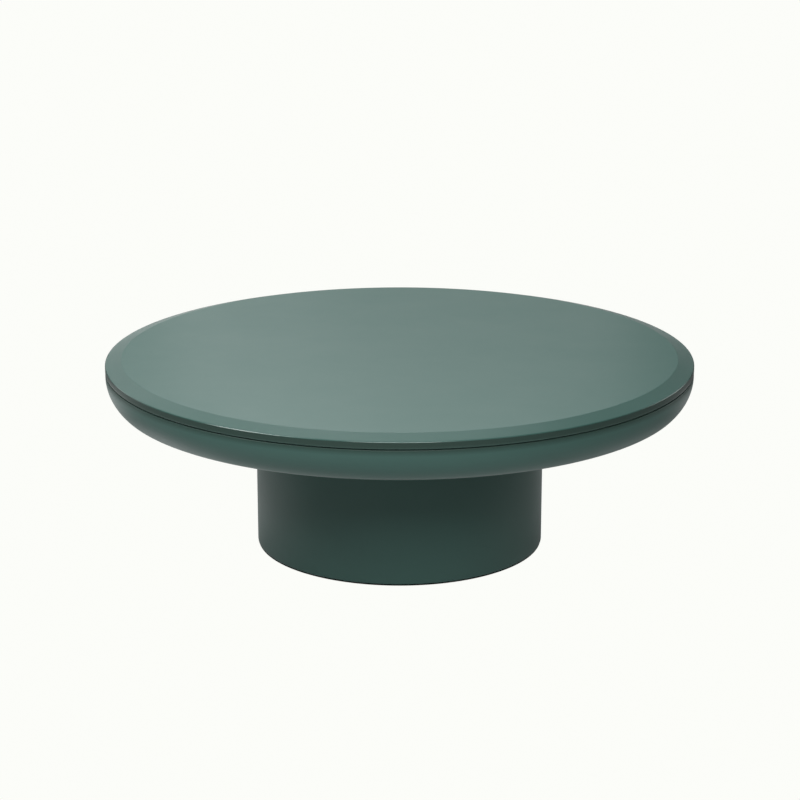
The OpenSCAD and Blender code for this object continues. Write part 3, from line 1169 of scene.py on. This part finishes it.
class TABLE_OT_add_bolts(bpy.types.Operator):
    """Add the column's bolts, washers and threaded inserts"""

    bl_idname = "table.add_bolts"
    bl_label = "Column bolts"

    def execute(self, context):
        shape = context.scene.table_shape
        fixings = context.scene.table_fixings
        slot = "zinc_plate"
        zinc = material_for(slot)
        count = 8
        first = math.tau / (2 * count)
        distance = shape.column_radius - shape.column_wall - fixings.bolt_inset
        seat = low("column_washers").z
        head_height = seat - low("column_bolts").z
        bolt = column_bolt("socket_bolts", high("column_bolts").z - seat, head_height)
        piece = spread("socket_bolts", bolt, zinc, count, distance, seat, first)
        keep(piece, slot, "column_bolts")
        thickness = high("column_washers").z - seat
        bore = fixings.bolt_radius + 0.1 * MM
        worn = thickness / 10
        washer = turned("flat_washer", outline([
            (bore, 0, worn),
            (fixings.washer_radius, 0, worn),
            (fixings.washer_radius, thickness, worn),
            (bore, thickness, worn),
        ]), fixings.segments, zinc)
        piece = spread("flat_washers", washer.data.copy(), zinc, count, distance, seat, first)
        keep(piece, slot, "column_washers")
        bpy.data.objects.remove(washer)
        floor = low("core_inserts").z
        insert = threaded_insert("threaded_inserts", high("core_inserts").z - floor)
        piece = spread("threaded_inserts", insert, zinc, count, distance, floor, first)
        keep(piece, slot, "core_inserts")
        return {"FINISHED"}


class TABLE_OT_add_glides(bpy.types.Operator):
    """Add the glides and their felt soles"""

    bl_idname = "table.add_glides"
    bl_label = "Glides"

    def execute(self, context):
        fixings = context.scene.table_fixings
        segments = 4 * fixings.segments
        count = 4
        numbers = range(1, count + 1)
        diagonal = math.tau / 8
        middle = centre("glide_1")
        distance = math.hypot(middle.x, middle.y)
        floor = low("glide_1").z
        height = high("glide_1").z - floor
        slot = "black_plastic"
        glide = turned("glide", glide_outline(height), segments, material_for(slot))
        piece = spread("moulded_glides", glide.data.copy(), material_for(slot), count, distance,
                       floor, diagonal)
        keep(piece, slot, *[f"glide_{i}" for i in numbers])
        bpy.data.objects.remove(glide)
        slot = "felt"
        radius = fixings.glide_radius - fixings.glide_edge
        sole = turned(
            "sole", felt_outline(radius, floor), segments, material_for(slot), closed=False)
        roughen(sole.data)
        piece = spread("felt_soles", sole.data.copy(), material_for(slot), count, distance, 0.0,
                       diagonal)
        keep(piece, slot, *[f"glide_sole_{i}" for i in numbers])
        bpy.data.objects.remove(sole)
        return {"FINISHED"}


class TABLE_OT_add_stage(bpy.types.Operator):
    """Add the pale floor, the soft lights, the backdrop and the camera"""

    bl_idname = "table.add_stage"
    bl_label = "Stage"

    def execute(self, context):
        add_floor()
        for values in SOFTBOXES:
            softbox(*values)
        add_backdrop()
        add_camera()
        return {"FINISHED"}


class TABLE_PT_panel(bpy.types.Panel):
    """Settings and pieces of the round pedestal table"""

    bl_idname = "TABLE_PT_panel"
    bl_label = "Round pedestal table"
    bl_space_type = "VIEW_3D"
    bl_region_type = "UI"
    bl_category = "Table"

    def draw(self, context):
        scene = context.scene
        for settings in (scene.table_shape, scene.table_fixings, scene.table_finish):
            box = self.layout.box()
            for name in settings.__annotations__:
                box.prop(settings, name)
        for operator in OPERATORS:
            self.layout.operator(operator.bl_idname)


OPERATORS = (
    TABLE_OT_add_top, TABLE_OT_add_rim, TABLE_OT_add_column, TABLE_OT_finish_boards,
    TABLE_OT_add_screws, TABLE_OT_add_bolts, TABLE_OT_add_glides, TABLE_OT_add_stage)
CLASSES = (TableShape, TableFixings, TableFinish, *OPERATORS, TABLE_PT_panel)


def register():
    for cls in CLASSES:
        bpy.utils.register_class(cls)
    bpy.types.Scene.table_shape = PointerProperty(type=TableShape)
    bpy.types.Scene.table_fixings = PointerProperty(type=TableFixings)
    bpy.types.Scene.table_finish = PointerProperty(type=TableFinish)


def unregister():
    del bpy.types.Scene.table_finish
    del bpy.types.Scene.table_fixings
    del bpy.types.Scene.table_shape
    for cls in reversed(CLASSES):
        bpy.utils.unregister_class(cls)


def main():
    """Adds every piece and the stage."""
    register()
    bpy.ops.table.add_top()
    bpy.ops.table.add_rim()
    bpy.ops.table.add_column()
    bpy.ops.table.finish_boards()
    bpy.ops.table.add_screws()
    bpy.ops.table.add_bolts()
    bpy.ops.table.add_glides()
    bpy.ops.table.add_stage()


if __name__ == "__main__":
    main()
